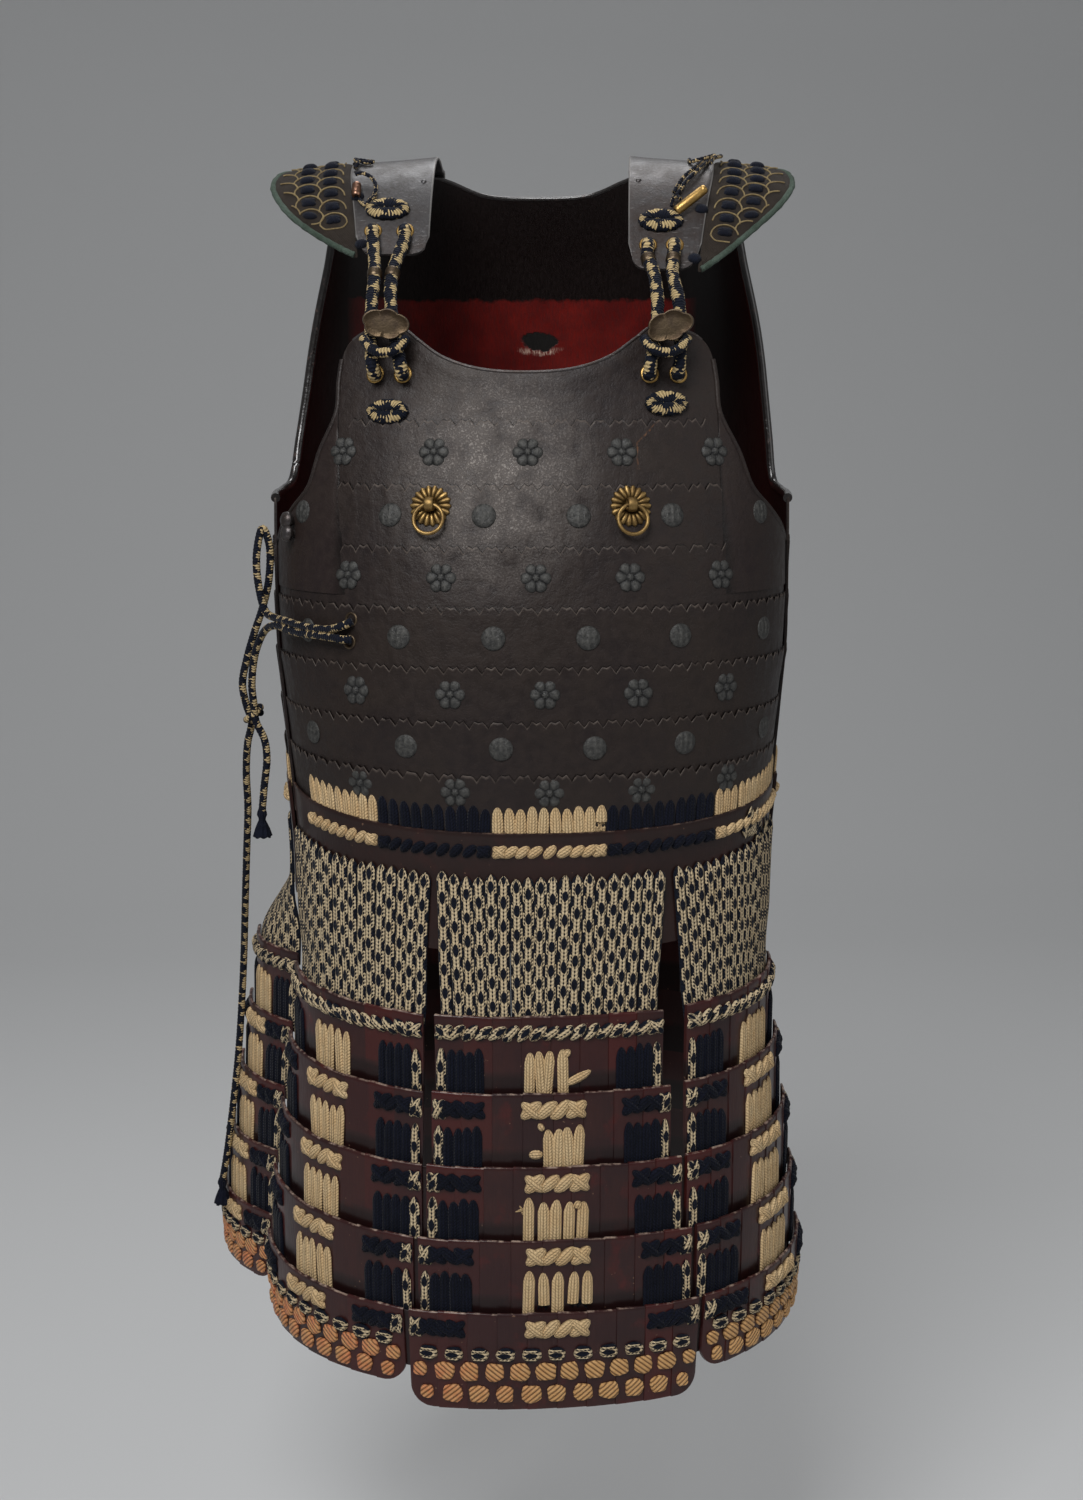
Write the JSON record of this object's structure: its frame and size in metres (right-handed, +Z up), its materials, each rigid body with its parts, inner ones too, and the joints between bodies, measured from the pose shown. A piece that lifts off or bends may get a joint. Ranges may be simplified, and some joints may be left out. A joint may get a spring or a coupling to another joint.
{
  "type": "lamellar armour cuirass with laced skirt",
  "caption": "Lamellar armour: an iron cuirass of front and back plates with shoulder straps, padded wings, chest rings, a side tie and a skirt of laced, lacquered lames.",
  "frame": {"origin": "midway between the undersides of the two shoulder straps, at their crest, where the wearer's shoulders carry the armour", "axes": "+Z up, -Y the wearer's front, +X the wearer's left"},
  "size_m": [0.4399, 0.3197, 0.8504],
  "materials": {
    "russet_iron": "russet-patinated iron lames, dark brown, worn to grey in patches; lacquered leather inside the back",
    "grey_iron": "satin grey iron with a mottled patina",
    "red_lacquer": "dark red-brown lacquer over rawhide, worn bright along the edges",
    "brass": "aged gilt brass",
    "navy_cream_braid": "flat and round silk braid in navy and cream",
    "quilted_cloth": "padded brown cloth with stitched cream scales and a pale green leather binding"
  },
  "bodies": {
    "root": {"front_plate": "russet_iron", "back_plate": "russet_iron", "waist_lame_front": "red_lacquer", "waist_lame_back": "red_lacquer", "shoulder_strap_L": "grey_iron", "shoulder_wing_L": "quilted_cloth", "shoulder_cord_L": "navy_cream_braid", "shoulder_toggle_L": "brass", "ring_mount_L": "brass", "shoulder_strap_R": "grey_iron", "shoulder_wing_R": "quilted_cloth", "shoulder_cord_R": "navy_cream_braid", "shoulder_toggle_R": "brass", "ring_mount_R": "brass", "tie_cord_long": "navy_cream_braid", "tie_cord_short": "navy_cream_braid", "curtain_front_centre": "navy_cream_braid", "lame_front_centre_1": "red_lacquer", "lame_front_centre_2": "red_lacquer", "lame_front_centre_3": "red_lacquer", "lame_front_centre_4": "red_lacquer", "lame_front_centre_5": "red_lacquer", "curtain_front_L": "navy_cream_braid", "lame_front_L_1": "red_lacquer", "lame_front_L_2": "red_lacquer", "lame_front_L_3": "red_lacquer", "lame_front_L_4": "red_lacquer", "lame_front_L_5": "red_lacquer", "curtain_front_R": "navy_cream_braid", "lame_front_R_1": "red_lacquer", "lame_front_R_2": "red_lacquer", "lame_front_R_3": "red_lacquer", "lame_front_R_4": "red_lacquer", "lame_front_R_5": "red_lacquer", "curtain_side_L": "navy_cream_braid", "lame_side_L_1": "red_lacquer", "lame_side_L_2": "red_lacquer", "lame_side_L_3": "red_lacquer", "lame_side_L_4": "red_lacquer", "lame_side_L_5": "red_lacquer", "curtain_back_L": "navy_cream_braid", "lame_back_L_1": "red_lacquer", "lame_back_L_2": "red_lacquer", "lame_back_L_3": "red_lacquer", "lame_back_L_4": "red_lacquer", "lame_back_L_5": "red_lacquer", "curtain_back_R": "navy_cream_braid", "lame_back_R_1": "red_lacquer", "lame_back_R_2": "red_lacquer", "lame_back_R_3": "red_lacquer", "lame_back_R_4": "red_lacquer", "lame_back_R_5": "red_lacquer", "curtain_side_R": "navy_cream_braid", "lame_side_R_1": "red_lacquer", "lame_side_R_2": "red_lacquer", "lame_side_R_3": "red_lacquer", "lame_side_R_4": "red_lacquer", "lame_side_R_5": "red_lacquer"},
    "ring_left": {"ring_L": "brass"},
    "ring_right": {"ring_R": "brass"}
  },
  "joints": [
    {"name": "ring_left_swing", "type": "hinge", "parent": "root", "child": "ring_left", "pos_m": [0.05522, -0.13067, -0.23169], "axis": [-0.994, -0.1093, 0], "range_deg": [0, 150]},
    {"name": "ring_right_swing", "type": "hinge", "parent": "root", "child": "ring_right", "pos_m": [-0.07737, -0.11885, -0.23149], "axis": [-0.9592, 0.2828, 0], "range_deg": [0, 150]}
  ]
}
